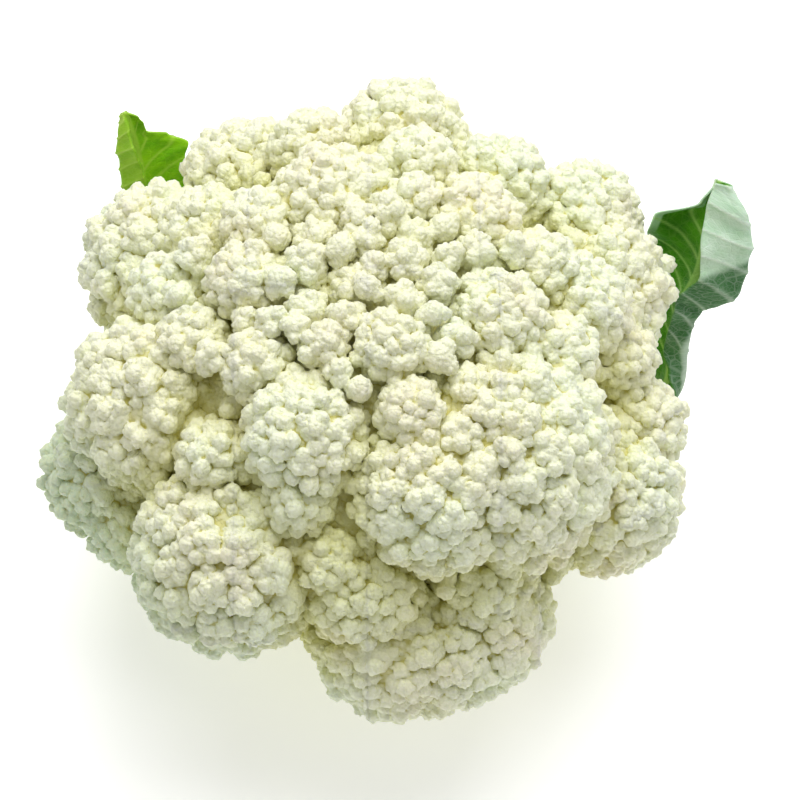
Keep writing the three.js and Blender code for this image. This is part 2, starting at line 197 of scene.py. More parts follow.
# the head of florets, in mm and degrees, with its colours
curd = {
    "centre": (0, 0, 64), "half": (88, 92, 66), "viewRise": 60, "rootDepth": 25, "seed": 5,
    "lobes": [  # across and up as seen from the front at viewRise, radius, lift
        (10, 70.5, 21.5, 0), (-32, 60, 21, 0), (36, 57, 18, 0), (58.5, 49, 20, 0), (62, 30, 25, 3),
        (71, -7, 18, -3), (63, -25, 25, -2), (33, -15, 36, 4), (17, -23, 26, 1), (8, -61, 27, -2),
        (29, -57, 24, -3), (-34, -40, 30, 3), (-68, -19, 22, -3), (-55, -1, 27, 3), (-54, 36, 27, 3),
        (-8, 50, 21, 2), (28, 46, 17, 0), (34, 20, 17, 1), (7, 13, 13, 1), (-28, 9, 12, 0),
        (-31, 30, 14, 1), (-15, -9, 20, 2), (-17, -26, 12, -6), (-44, 15, 13, -2), (50, 12, 14, -2),
        (46, 34, 14, -1), (14, 62, 14, 0), (-14, 67, 15, 0), (-28, 46, 13, 0), (-10, 14, 9, 0),
        (12, -3, 12, 0), (13, 52, 11, -1), (66, 11, 15, -4), (-63, -33, 15, -4), (-38, -15, 14, -5),
        (-9, -41, 13, -11), (19, -62, 25, -1)],
    "sideLobes": [  # bearing, rise, radius, lift
        (-52, -22, 14, -3), (-140, -22, 20, 0), (172, -16, 21, 0), (115, -8, 20, 0), (88, -14, 24, 0),
        (52, -14, 24, 0), (103, 4, 22, 0), (-14, -24, 16, 0), (-90, 8, 20, -10), (-62, 2, 20, -9),
        (142, 30, 18, -3), (166, 32, 16, -3), (12, 26, 17, 0)],
    "branchStop": 12, "branchShares": (0.25, 0.5, 0.75, 1), "branchTaper": 0.35,  # from each lobe to the core
    "budShare": 0.18, "smallestBud": 2.8, "largestBud": 5.0, "budSizes": (1.25, 1.0, 0.8, 0.62),
    "budReach": 112, "budRise": 0.8, "budSink": 1.2, "budTries": 900, "budSpacing": 0.8, "budCover": 2,
    "uneven": (0.9, 1.1),  # how far sizes of buds vary
    "youngSizes": (6.6, 5.6, 4.7, 3.9), "youngAbove": -0.1,  # single buds that fill the gaps
    "youngTries": 3000, "youngSpacing": 0.72, "youngOverlap": 0.1, "stemSize": 0.6,
    "stemShares": (0.12, 0.24, 0.36, 0.48),
    "crown": (-3, 28, 50, 27),  # middle and reach, across and up, of where young buds stand high
    "crownDrop": (2.0, 5.5), "gapDrop": (13.0, 20.0), "gapSize": 0.72,  # depths in and out of the crown
    "plainBelow": 4.6, "plainInset": 0.6, "knobInset": 1.8,  # a smaller young bud has grains only
    "knobs": {"spacing": 3.5, "smallest": 1.5, "largest": 2.6, "sink": 0.2,
              "coarseness": 1.8, "rounds": 8, "deepest": 0.35, "leastBloom": 0.75},
    "grains": {"spacing": 1.4, "smallest": 0.62, "largest": 0.9, "sink": 0.4,
               "coarseness": 1.2, "rounds": 5, "deepest": 0.22, "leastBloom": 0.25},
    "crowding": 6,  # tries in each square of the spacing
    "zoneShare": 1.5, "zoneMargin": 1.0,  # how near to a bud's middle knobs and grains keep
    "standOut": 2.6,  # what knobs and grains add to a bud
    "coreHalf": (62, 65, 54), "coreBall": 22, "coreBalls": 90, "coreSpan": 1.5,
    "neck": [(43, 24), (50, 29), (57, 35)],  # height and size, widens out of the stalk's top
    "voxel": 0.55, "skinLevel": 0.08, "foldRounds": 10, "hollowRounds": 120,
    "cuts": [(0, "left", "right"), (1, "front", "back"), (2, "low", "high"), (0, "a", "b")],  # axis, halves
    "cutShift": 0.37, "mapSlack": 1.08, "mapFill": 0.49, "capCell": 6.0, "mapSide": (0.31, 0.52, 0.79),
    "preview": (0.93, 0.91, 0.78), "creams": ((0.87, 0.92, 0.72), (0.92, 0.91, 0.69)),
    "patches": (28.0, 3.0), "blush": (55.0, 2.0),  # scale and detail
    "patchRange": (0.35, 0.65), "grainScales": (900.0, 2100.0), "fineShare": 0.3,
    "paintedShadeWay": (0.8, 0.35, 0.9),  # left, front, down: painted shade grows towards these sides, away from the lamp
    "tints": [  # what it follows, from, to, strength, colour
        ("blush", 0.5, 0.72, 0.35, (0.91, 0.82, 0.63)),
        ("greenRimAndPaintedShade", 0.02, 0.08, 0.85, (0.58, 0.71, 0.51)),  # painted shade: darker green towards the left, front and bottom, away from the lamp, partly the rim's own greener colour
        ("grain", 0.4, 0.75, 0.35, (0.76, 0.80, 0.50)),
        ("fine", 0.4, 0.8, 0.3, (0.80, 0.80, 0.54)),
        # darker yellow-olive deep inside the head's outline, in the hollows between lobes: partly their
        # yellower colour, partly painted shade
        ("outness", 0.94, 0.74, 0.75, (0.74, 0.72, 0.29)),
        # darker olive in the folds between knobs and grains: partly the creases' own yellow-olive colour,
        # partly painted shade
        ("fold", 0.05, 0.40, 0.6, (0.68, 0.66, 0.18)),
        ("fold", 0.2, 0.42, 0.6, (0.56, 0.51, 0.08)),
        # darker olive in the hollows between buds: partly their yellow-olive colour, partly painted shade
        ("hollow", 0.3, 1.5, 0.7, (0.54, 0.49, 0.10)),
        # painted shadow: near-black in the deepest hollows
        ("hollow", 1.4, 2.4, 0.85, (0.14, 0.11, 0.02))],
    "bump": (0.65, 0.6), "roughness": 0.6, "subsurface": 0.35, "subsurfaceReach": (2, 2, 1.2)}
layerInputs = ("spacing", "smallest", "largest", "sink")  # what the tree takes for knobs and for grains


def onShell(way, inset):  # where a ray from the middle meets the head, that far below its outside
    return way / np.linalg.norm(way / (np.array(curd["half"], float) - inset))


def placeLobes():
    half = np.array(curd["half"], float)
    rise = math.radians(curd["viewRise"])
    upward = np.array((0, math.sin(rise), math.cos(rise)))
    toEye = np.array((0, -math.cos(rise), math.sin(rise)))
    middles, radii = [], []
    for across, up, radius, lift in curd["lobes"]:  # where the line of sight meets the head
        shell = half + lift - radius
        near = np.array((across, 0, 0)) + up * upward
        start, run = near / shell, toEye / shell
        slope = start @ run / (run @ run)
        rest = max(0, slope ** 2 - (start @ start - 1) / (run @ run))
        middles.append(near + toEye * (math.sqrt(rest) - slope))
        radii.append(radius)
    for bearing, climb, radius, lift in curd["sideLobes"]:
        turn, climb = math.radians(bearing), math.radians(climb)
        flat = math.cos(climb)
        way = np.array((math.cos(turn) * flat, math.sin(turn) * flat, math.sin(climb)))
        middles.append(onShell(way, radius - lift))
        radii.append(radius)
    middles = np.array(middles)
    outward = np.array([unit(middle + (0, 0, curd["rootDepth"])) for middle in middles])
    return middles + curd["centre"], np.array(radii, float), outward


def growLobe(draw, i, middles, radii, way):  # a lobe's bed, its branch down to the core, and its buds
    middle, radius = middles[i], radii[i]
    bud = np.clip(radius * curd["budShare"], curd["smallestBud"], curd["largestBud"])
    bed = radius - curd["standOut"] - curd["budRise"] * bud
    balls = [(*middle, bed, 0)]
    length = np.linalg.norm(middle - np.array(curd["centre"], float) + (0, 0, curd["rootDepth"]))
    length -= curd["branchStop"]
    for share in curd["branchShares"]:
        balls.append((*(middle - way * length * share), bed * (1 - curd["branchTaper"] * share), 0))
    placed, sizes = [], []
    for size in curd["budSizes"]:  # large buds first, then what fits between
        ways = unitRows(draw.normal(size=(curd["budTries"], 3)))
        ways = ways[ways @ way > math.cos(math.radians(curd["budReach"]))]
        for one in ways:
            small = bud * size * draw.uniform(*curd["uneven"])
            if placed:
                apart = np.linalg.norm(np.array(placed) - one, axis=1) * (radius - bud)
                if np.any(apart < curd["budSpacing"] * (np.array(sizes) + small)):
                    continue
            placed.append(one)
            sizes.append(small)
    for one, small in zip(placed, sizes):
        spot = middle + one * (radius - curd["standOut"] - small - draw.uniform(0, curd["budSink"]))
        others = np.delete(np.linalg.norm(middles - spot, axis=1) - radii, i)
        if others.min() > -small - curd["budCover"]:  # left out where another lobe covers it
            balls.append((*spot, small, 1))
    return balls


def fillGaps(draw, middles, radii):  # young buds, each on a stem, where no lobe is
    centre = np.array(curd["centre"], float)
    rise = math.radians(curd["viewRise"])
    across, up, wide, high = curd["crown"]
    spots, sizes, balls = np.empty((0, 3)), np.empty(0), []
    for size in np.repeat(curd["youngSizes"], curd["youngTries"]):
        way = unit(draw.normal(size=3))
        radius = size * draw.uniform(*curd["uneven"])
        seen = onShell(way, radius)
        seenUp = seen[1] * math.sin(rise) + seen[2] * math.cos(rise)
        inCrown = math.hypot((seen[0] - across) / wide, (seenUp - up) / high) < 1
        radius *= 1 if inCrown else curd["gapSize"]
        drop = draw.uniform(*curd["crownDrop" if inCrown else "gapDrop"])
        spot = centre + onShell(way, radius + drop)
        free = np.min(np.linalg.norm(middles - spot, axis=1) - radii)
        if way[2] < curd["youngAbove"] or free < -curd["youngOverlap"] * radius:
            continue
        if np.all(np.linalg.norm(spots - spot, axis=1) > curd["youngSpacing"] * (sizes + radius)):
            spots = np.vstack((spots, spot))
            sizes = np.append(sizes, radius)
            plain = radius < curd["plainBelow"]
            inset = curd["plainInset" if plain else "knobInset"]
            balls.append((*spot, radius - inset, 0.5 if plain else 1))
            for share in curd["stemShares"]:
                balls.append((*(centre + (spot - centre) * (1 - share)), radius * curd["stemSize"], 0))
    print("young buds", len(sizes))
    return balls


def growCore():  # what all lobes stand out of
    reach = np.array(curd["coreHalf"]) - curd["coreBall"]
    balls = []
    for i in range(curd["coreBalls"]):
        rise = 1 - curd["coreSpan"] * (i + 0.5) / curd["coreBalls"]
        turn = math.radians(goldenAngle * i)
        flat = math.sqrt(1 - rise ** 2)
        way = (flat * math.cos(turn), flat * math.sin(turn), rise)
        balls.append((*(np.array(curd["centre"], float) + reach * way), curd["coreBall"], 0))
    return balls + [(0, 0, height, size, 0) for height, size in curd["neck"]]


def growBuds(middles, radii, outward):  # balls: place, radius, and bloom: 1 carries knobs, 0.5 grains only
    draw = np.random.default_rng(curd["seed"])
    balls = []
    for i, way in enumerate(outward):
        balls += growLobe(draw, i, middles, radii, way)
    balls += fillGaps(draw, middles, radii)
    balls += growCore()
    print("curd lobes", len(radii), "balls", len(balls))
    return np.array(balls)


def fuse(maker, points, voxel):  # one skin round all the balls
    radius = maker.add("GeometryNodeInputRadius")
    volume = maker.add("GeometryNodePointsToVolume", {"resolution_mode": "VOXEL_SIZE"},
                       {"Points": points, "Density": 1.0, "Voxel Size": voxel, "Radius": radius})
    return maker.add("GeometryNodeVolumeToMesh", {"resolution_mode": "GRID"},
                     {"Volume": volume, "Threshold": curd["skinLevel"]})


def hollowness(maker, rounds):  # how far the skin lies below its smoothed self
    place = maker.add("GeometryNodeInputPosition")
    smooth = maker.add("GeometryNodeBlurAttribute", {"data_type": "FLOAT_VECTOR"},
                       {"Value": place, "Iterations": rounds})
    normal = maker.add("GeometryNodeInputNormal")
    return maker.vectors("DOT_PRODUCT", maker.vectors("SUBTRACT", smooth, place), normal, "Value")


def store(maker, geometry, name, value):
    return maker.add("GeometryNodeStoreNamedAttribute", {"data_type": "FLOAT", "domain": "POINT"},
                     {"Geometry": geometry, "Name": name, "Value": value})


def recall(maker, name):
    return maker.add("GeometryNodeInputNamedAttribute", {"data_type": "FLOAT"}, {"Name": name})


def addLayer(maker, given, balls, points, name, seed):  # small balls spread over the skin of the buds
    layer = curd[name]
    spacing, smallest, largest, sink = (given.also(f"{name} {part}") for part in layerInputs)
    buds = maker.add("GeometryNodeSeparateGeometry", {"domain": "POINT"},
                     {"Geometry": balls, "Selection": recall(maker, "bloom") > layer["leastBloom"]})
    skin = fuse(maker, points, given.also("Voxel") * layer["coarseness"])
    skin = store(maker, skin, "hollow", hollowness(maker, layer["rounds"]))
    place = maker.add("GeometryNodeInputPosition")
    nearest = maker.add("GeometryNodeSampleNearest", {"domain": "POINT"}, {"Geometry": buds})
    middle = maker.add("GeometryNodeSampleIndex", {"data_type": "FLOAT_VECTOR", "domain": "POINT"},
                       {"Geometry": buds, "Value": place, "Index": nearest})
    size = maker.add("GeometryNodeSampleIndex", {"data_type": "FLOAT", "domain": "POINT"},
                     {"Geometry": buds, "Value": maker.add("GeometryNodeInputRadius"), "Index": nearest})
    near = maker.vectors("DISTANCE", place, middle, "Value") < size * curd["zoneShare"] + curd["zoneMargin"]
    exposed = recall(maker, "hollow") < layer["deepest"]
    spread = maker.add("GeometryNodeDistributePointsOnFaces", {"distribute_method": "POISSON"},
                       {"Mesh": skin, "Selection": near * exposed, "Distance Min": spacing, "Seed": seed,
                        "Density Max": curd["crowding"] / (spacing * spacing), "Density Factor": 1.0})
    radius = maker.add("FunctionNodeRandomValue", {"data_type": "FLOAT"},
                       {2: smallest, 3: largest, 8: seed}, 1)  # its sockets for single numbers
    offset = maker.add("ShaderNodeVectorMath", {"operation": "SCALE"},
                       {0: spread.also("Normal"), "Scale": radius * (0 - sink)})
    sunk = maker.add("GeometryNodeSetPosition", None, {"Geometry": spread, "Offset": offset})
    sized = maker.add("GeometryNodeSetPointRadius", None, {"Points": sunk, "Radius": radius})
    return maker.add("GeometryNodeJoinGeometry", None, {"Geometry": [points, sized]})


def curdTree():
    layers = [(f"{name} {part}", "Float") for name in ("knobs", "grains") for part in layerInputs]
    maker, given = newTree("curdFlorets", [
        ("Geometry", "Geometry"), *layers, ("Voxel", "Float"), ("Seed", "Int"), ("Material", "Material")])
    balls = maker.add("GeometryNodeMeshToPoints", {"mode": "VERTICES"},
                      {"Mesh": given, "Radius": recall(maker, "ballRadius")})
    knobbed = addLayer(maker, given, balls, balls, "knobs", given.also("Seed"))
    grained = addLayer(maker, given, balls, knobbed, "grains", given.also("Seed") + 1)
    skin = fuse(maker, grained, given.also("Voxel"))
    island = maker.add("GeometryNodeInputMeshIsland")
    count = maker.add("GeometryNodeAccumulateField", {"data_type": "FLOAT", "domain": "POINT"},
                      {"Value": 1.0, "Group ID": island}, "Total")
    most = maker.add("GeometryNodeAttributeStatistic", {"data_type": "FLOAT", "domain": "POINT"},
                     {"Geometry": skin, "Attribute": count}, "Max")
    body = maker.add("GeometryNodeDeleteGeometry", {"domain": "POINT"},
                     {"Geometry": skin, "Selection": count < most - 0.5})  # only the largest island stays
    body = store(maker, body, "fold", hollowness(maker, curd["foldRounds"]))
    body = store(maker, body, "hollow", hollowness(maker, curd["hollowRounds"]))
    body = maker.add("GeometryNodeSetShadeSmooth", None, {"Geometry": body})
    body = maker.add("GeometryNodeTransform", None, {"Geometry": body, "Scale": (mm, mm, mm)})
    body = maker.add("GeometryNodeRealizeInstances", None, {"Geometry": body})
    body = maker.add("GeometryNodeSetMaterial", None, {"Geometry": body, "Material": given.also("Material")})
    maker.add("NodeGroupOutput", None, {0: body})
    return maker.tree


def curdMaterial():
    material, maker = newMaterial("creamCurd", curd["preview"])
    place = maker.add("ShaderNodeTexCoord", None, None, "Object")
    fromMiddle = maker.vectors("SUBTRACT", place, inMetres(curd["centre"]))
    ofHalf = maker.vectors("DIVIDE", fromMiddle, inMetres(curd["half"]))
    apart = maker.add("ShaderNodeSeparateXYZ", None, {0: fromMiddle})
    # painted shade on the sides away from the lamp, mixed with the rim's greener colour
    left, front, down = curd["paintedShadeWay"]
    grain, fine = (maker.cells(place, "F1", scale) for scale in curd["grainScales"])
    follow = {"blush": maker.noise(place, *curd["blush"]), "grain": grain, "fine": fine,
              "greenRimAndPaintedShade": 0 - left * apart - front * apart.also("Y") - down * apart.also("Z"),
              "outness": maker.vectors("LENGTH", ofHalf, None, "Value"),
              "fold": maker.attribute("fold"), "hollow": maker.attribute("hollow")}
    patches = maker.noise(place, *curd["patches"])
    colour = maker.mix(maker.ease(patches, *curd["patchRange"]), *curd["creams"])
    # the tints also paint shade into the colour: in folds, hollows, deep recesses and on the sides away from
    # the lamp
    for name, low, high, strength, tint in curd["tints"]:
        colour = maker.mix(maker.ease(follow[name], low, high, 0, strength), colour, tint)
    maker.surface({
        "Base Color": colour, "Roughness": curd["roughness"], "Subsurface Weight": curd["subsurface"],
        "Subsurface Radius": inMetres(curd["subsurfaceReach"]), "Subsurface Scale": 1.0,
        "Normal": maker.bump(*curd["bump"], 0 - grain * grain - curd["fineShare"] * fine * fine)})
    return material


def capFaces(flat, edges):  # triangles that fill the closed outlines of a cut
    found = delaunay_2d_cdt([Vector(p) for p in flat], edges.tolist(), [], 0, 1e-6)
    origin = np.array([one[0] if one else -1 for one in found[3]])
    cap = origin[np.array(found[2])]
    cap = cap[(cap >= 0).all(1)]
    middle = flat[cap].mean(1)
    inside = np.zeros(len(cap), bool)
    for p, q in zip(flat[edges[:, 0]], flat[edges[:, 1]]):  # odd number of crossings: inside
        spans = (p[1] > middle[:, 1]) != (q[1] > middle[:, 1])
        if spans.any():
            crossing = p[0] + (middle[:, 1] - p[1]) * (q[0] - p[0]) / (q[1] - p[1])
            inside ^= spans & (middle[:, 0] < crossing)
    cap = cap[inside]
    sides = np.sort(cap[:, [[0, 1], [1, 2], [2, 0]]], axis=-1) @ (len(flat), 1)
    outline = np.sort(edges, axis=-1) @ (len(flat), 1)
    which, uses = np.unique(sides, return_inverse=True, return_counts=True)[1:]
    loose = (uses[which.reshape(-1, 3)] == 1) & ~np.isin(sides, outline)
    return cap[~loose.any(1)]  # without slivers that lie along an edge


def cutSolid(solid, axis, level):  # two closed halves, each with a flat cap where it was cut
    points, values, faces, lobe = solid
    height = points[:, axis] - level
    height[np.abs(height) < 1e-7] = 1e-7
    above = height > 0
    count = above[faces].sum(1)
    crossed = np.nonzero((count == 1) | (count == 2))[0]
    upper = count[crossed] == 1  # the lone corner is above
    lone = np.argmax(above[faces[crossed]] == upper[:, None], axis=1)
    a, b, c = (faces[crossed, (lone + k) % 3] for k in range(3))
    pairs = np.sort(np.vstack((np.stack((a, b), 1), np.stack((a, c), 1))), axis=1)
    pairs, which = np.unique(pairs, axis=0, return_inverse=True)
    one, other = pairs.T
    share = (height[one] / (height[one] - height[other]))[:, None]
    fresh = points[one] + (points[other] - points[one]) * share
    fresh[:, axis] = level
    first = len(points)
    points = np.vstack((points, fresh))
    values = np.vstack((values, values[one] * (1 - share) + values[other] * share))
    ab, ac = np.split(first + which.ravel(), 2)
    tips = np.stack((a, ab, ac), 1)
    stumps = (np.stack((ab, b, c), 1), np.stack((ab, c, ac), 1))
    flat = fresh[:, [(axis + 1) % 3, (axis + 2) % 3]] / mm
    cap = capFaces(flat, np.stack((ab, ac), 1) - first) + first
    cutLobe, capLobe = lobe[crossed], np.full(len(cap), -1)
    halves = []
    for mine, whole, turned in ((~upper, 0, cap), (upper, 3, cap[:, ::-1])):
        parts = (faces[count == whole], tips[mine], stumps[0][~mine], stumps[1][~mine], turned)
        lobes = (lobe[count == whole], cutLobe[mine], cutLobe[~mine], cutLobe[~mine], capLobe)
        used, ring = np.unique(np.vstack(parts), return_inverse=True)
        halves.append((points[used], values[used], ring.reshape(-1, 3), np.concatenate(lobes)))
    return halves


def cutUp(solid, cuts, name):  # named pieces of nearly the same weight
    if not cuts:
        return [(name, solid)]
    points, _, faces, lobe = solid
    axis, lower, higher = cuts[0]
    step = curd["voxel"] * mm
    middle = np.median(points[faces[lobe >= 0, 0], axis])
    level = step * (middle // step + curd["cutShift"])  # between the points' own levels
    pieces = []
    for half, word in zip(cutSolid(solid, axis, level), (lower, higher)):
        pieces += cutUp(half, cuts[1:], name + "_" + word)
    return pieces


def packCells(sizes):  # squares on shelves, inside the unit square
    width = curd["mapSlack"] * math.sqrt(sum(size ** 2 for size in sizes.values()))
    x = y = shelf = 0
    cells = {}
    for key in sorted(sizes, key=lambda k: -sizes[k]):
        if x + sizes[key] > width:
            x, y, shelf = 0, y + shelf, 0
        shelf = max(shelf, sizes[key])
        cells[key] = (x, y, sizes[key])
        x += sizes[key]
    whole = max(width, y + shelf)
    return {key: tuple(v / whole for v in cell) for key, cell in cells.items()}


def discMap(points, lobe, middles, outward, radii):  # each lobe laid flat as a disc, equal in area
    cells = packCells({int(i): radii[i] if i >= 0 else curd["capCell"] for i in np.unique(lobe)})
    corner = np.array([cells[i] for i in lobe.tolist()])
    way = unitRows(points / mm - middles[lobe])
    axis = outward[lobe]
    across = unitRows(np.cross(axis, curd["mapSide"]))
    u = (way * across).sum(1)
    v = (way * np.cross(axis, across)).sum(1)
    reach = np.sqrt(np.clip(0.5 - 0.5 * (way * axis).sum(1), 0, 1)) / np.maximum(np.hypot(u, v), 1e-9)
    return corner[:, :2] + corner[:, 2:] * (0.5 + curd["mapFill"] * np.stack((u * reach, v * reach), 1))


def curdPiece(name, solid, middles, radii, outward):
    points, values, faces, lobe = solid
    piece = bpy.data.meshes.new(name)
    piece.from_pydata(points.tolist(), [], faces.tolist())
    for label, column in (("fold", 3), ("hollow", 4)):
        setValues(piece, label, values[:, column])
    piece.polygons.foreach_set("use_smooth", [True] * len(faces))
    normals = values[faces.ravel(), :3]
    flat = np.repeat(lobe < 0, 3)
    normals[flat] = np.repeat(numbers(piece.polygons, "normal", 3), 3, axis=0)[flat]
    piece.normals_split_custom_set(normals.tolist())  # no seam shows between pieces
    places = discMap(points[faces.ravel()], np.repeat(lobe, 3), middles, outward, radii)
    piece.uv_layers.new(name="OFBake").data.foreach_set("uv", places.astype(np.float32).ravel())
    return piece


def splitCurd(mesh, middles, radii, outward):  # so that no piece grows too heavy
    mesh.calc_loop_triangles()
    faces = numbers(mesh.loop_triangles, "vertices", 3, np.int32)
    points = numbers(mesh.vertices, "co", 3).astype(float)
    depths = [numbers(mesh.attributes[label].data, "value") for label in ("fold", "hollow")]
    values = np.column_stack([numbers(mesh.vertex_normals, "vector", 3), *depths])
    owner, best = np.zeros(len(points), int), np.full(len(points), np.inf)
    for i, (middle, radius) in enumerate(zip(middles * mm, radii * mm)):  # the lobe that each point is on
        gap = np.linalg.norm(points - middle, axis=1) - radius
        owner = np.where(gap < best, i, owner)
        best = np.minimum(gap, best)
    pieces = cutUp((points, values, faces, owner[faces[:, 0]]), curd["cuts"], "curd")
    return [curdPiece(name, solid, middles, radii, outward) for name, solid in pieces]


def makeCurd():
    middles, radii, outward = placeLobes()
    balls = growBuds(middles, radii, outward)
    seedMesh = bpy.data.meshes.new("curdSeeds")
    seedMesh.from_pydata(balls[:, :3].tolist(), [], [])
    for label, column in (("ballRadius", 3), ("bloom", 4)):
        setValues(seedMesh, label, balls[:, column])
    holder = showObject("curdSeeds", seedMesh)
    material = curdMaterial()
    values = {f"{name} {part}": curd[name][part] for name in ("knobs", "grains") for part in layerInputs}
    values |= {"Voxel": curd["voxel"], "Seed": curd["seed"], "Material": material}
    mesh = runTree(holder, curdTree(), values)
    bpy.data.objects.remove(holder)
    print("curd skin", len(mesh.vertices), "points", len(mesh.polygons), "faces")
    for piece in splitCurd(mesh, middles, radii, outward):
        piece.materials.append(material)
        print(piece.name, len(piece.polygons), "triangles")
        finishPiece(showObject(piece.name, piece), "curd")


# what the wrapper leaves share, in mm or in shares of the blade
leafBlade = {
    "stations": 240, "steps": 34, "length": 150, "thickness": 0.9, "foldSpread": 0.14,
    "ruffle": (1.2, 4.5, 3), "frill": (0.3, 12.5, 4),  # depth, waves, power towards the edge
    "toothCount": 7, "toothFrom": (0.4, 0.55), "ribReach": 3.0, "ribInside": 0.4, "ribOutside": 0.6,
    "veinCount": 8, "veinFrom": 0.44, "veinSpan": 0.54, "veinStagger": 0.3, "veinLean": 0.13, "veinBend": 0.3,
    "veinWidth": 0.9, "veinTaper": (1.15, 0.75), "veinFade": (0.4, 0.48),
    "veinHeight": 0.4, "veinInside": 0.12,  # on the underside, on the inside
    "quilt": 0.55, "quiltWidth": 3.5, "quiltFrom": (2, 10), "middleEdge": 9.0,
    "mottle": (0.16, 4.0), "speck": (1.4, 2.0),  # scale and detail
    "nets": [(0.32, 0.9, 0.09, 0.8), (0.95, 1.0, 0.12, 0.4)],  # scale, randomness, line, strength
    "speckShare": 0.25, "blend": (0.4, 0.85), "netShare": 0.22,
    "tipSlant": 0.7, "tipMiddle": 18, "rimFrom": (122, 128), "rimSoft": 0.7, "rimShare": 0.9,
    "veinClear": 0.55, "ribFace": 0.4, "ribEdge": (0.35, 0.58), "veinShare": 0.85, "petioleTo": (66, 30),
    "bump": (0.35, 0.6), "speckBump": 0.5, "netBump": 0.6,
    "roughness": (0.42, 0.15, 0.12),  # of all, more on the underside, more on specks
    "specular": 0.15, "subsurface": 0.12, "subsurfaceReach": (2, 3, 1)}
# the two wrapper leaves, in mm and degrees, each list from foot to tip
leafRight = {
    "midrib": [(15.8, 2.8, 14), (44, 8, 17), (70, 15, 26), (84, 18, 39), (86, 26, 49), (88, 34, 58),
               (92, 40, 66), (94, 48, 76), (96.3, 56, 87)],
    "face": (-0.6, -0.4, 0.7), "rib": [9, 8, 7, 6, 5, 4, 3, 2.2, 1.4], "teeth": 0.03, "phase": 0.4,
    "left": {"width": [9, 8.5, 8, 7.5, 7, 6.5, 6, 8, 11, 14, 16, 17.5, 18.5, 19, 17.5, 4.5, 1],
             "foldAt": [0.52, 0.52], "lean": [20, 20, 20, 0, -12, -14, -12, -5, 0],
             "fold": [30, 30, 20, 10, 0, 0, 10, 70, 60]},
    "right": {"width": [9, 8.5, 8, 7.5, 7, 6.5, 6, 6, 6.5, 8, 14, 22.5, 27.5, 28.5, 28, 25, 9],
              "foldAt": [0.3, 0.3, 0.3, 0.3, 0.3, 0.4, 0.5, 0.5, 0.5],
              "lean": [20, 20, 20, 10, -10, -25, -25, -20, -10],
              "fold": [30, 30, 30, 25, 20, 25, 40, 95, 140, 152, 155, 152, 150, 160, 166, 165, 150]},
    "inside": ((0.035, 0.19, 0.001), (0.075, 0.30, 0.002)),
    # the underside darkened by painted shadow below the folded flap, then underTip, the same underside on the
    # flap in light; tipFrom is where that painted shadow ends
    "under": ((0.045, 0.15, 0.045), (0.09, 0.22, 0.09)),
    "underTip": ((0.42, 0.64, 0.42), (0.64, 0.82, 0.64)), "tipFrom": (118, 122), "waxyRim": 2.4,
    "insideVein": (0.34, 0.58, 0.14), "underVein": (0.78, 0.90, 0.76), "petiole": (0.50, 0.64, 0.40)}
leafLeft = {
    "midrib": [(-13.5, 8.6, 12), (-38, 24, 15), (-58, 45, 24), (-66, 62, 42), (-63.5, 69.5, 62),
               (-65, 76.5, 74), (-67.5, 81, 83)],
    "face": (0.25, -0.5, 0.8), "rib": [9, 8, 7, 5.5, 4, 2.6, 1.4], "teeth": 0.04, "phase": 2.1,
    "left": {"width": [9, 8.5, 8, 7.5, 7, 8.5, 12, 16, 12.5, 12.5, 12, 7.5, 1],
             "foldAt": [0.46, 0.46], "lean": [20, 20, 20, 10, 0, 0, 0],
             "fold": [30, 30, 30, 25, 20, 40, 60, 50, 140, 140, 140, 110, 80]},
    "right": {"width": [9, 9, 8.5, 8.5, 8, 8, 7.5, 7.5, 7, 7, 7.5, 8, 9, 11.5, 13.5, 14.5, 15, 14.5, 14, 15,
                        9.5, 4.5, 4.5, 3.5, 1],
              "foldAt": [0.52, 0.52], "lean": [20, 20, 20, 5, -5, 0, 0], "fold": [30, 30, 20, 0, 10, 20, 10]},
    "inside": ((0.14, 0.41, 0.002), (0.26, 0.56, 0.004)),
    # both underside colours are the same here, so no shadow is painted on this leaf
    "under": ((0.22, 0.46, 0.015), (0.33, 0.56, 0.04)),
    "underTip": ((0.22, 0.46, 0.015), (0.33, 0.56, 0.04)), "tipFrom": (112, 122), "waxyRim": 0.6,
    "insideVein": (0.38, 0.62, 0.06), "underVein": (0.46, 0.66, 0.12), "petiole": (0.55, 0.66, 0.35)}


def easeStep(value, low, high):
    share = np.clip((value - low) / (high - low), 0, 1)
    return share * share * (3 - 2 * share)


def along(entries, shares):  # a list's value at each share, easing from entry to entry
    entries = np.array(entries, float)
    place = np.clip(shares, 0, 1) * (len(entries) - 1)
    i = np.minimum(place.astype(int), len(entries) - 2)
    return entries[i] + (entries[i + 1] - entries[i]) * easeStep(place - i, 0, 1)


def midribLine(points, shares):  # a smooth line through the points
    points = np.array(points, float)
    points = np.vstack((2 * points[0] - points[1], points, 2 * points[-1] - points[-2]))
    place = np.clip(shares, 0, 1) * (len(points) - 3)
    i = np.minimum(place.astype(int), len(points) - 4)
    t = (place - i)[:, None]
    p = [points[i + k] for k in range(4)]
    d = [np.sqrt(np.linalg.norm(p[k + 1] - p[k], axis=1))[:, None] for k in range(3)]
    first = ((p[1] - p[0]) / d[0] - (p[2] - p[0]) / (d[0] + d[1]) + (p[2] - p[1]) / d[1]) * d[1]
    last = ((p[2] - p[1]) / d[1] - (p[3] - p[1]) / (d[1] + d[2]) + (p[3] - p[2]) / d[2]) * d[1]
    return (p[1] * (2 * t ** 3 - 3 * t ** 2 + 1) + first * (t ** 3 - 2 * t ** 2 + t)
            + p[2] * (3 * t ** 2 - 2 * t ** 3) + last * (t ** 3 - t ** 2))


def ripple(wave, place, shares, shift):
    depth, waves, power = wave
    return depth * place ** power * np.sin(2 * math.pi * waves * shares + shift)


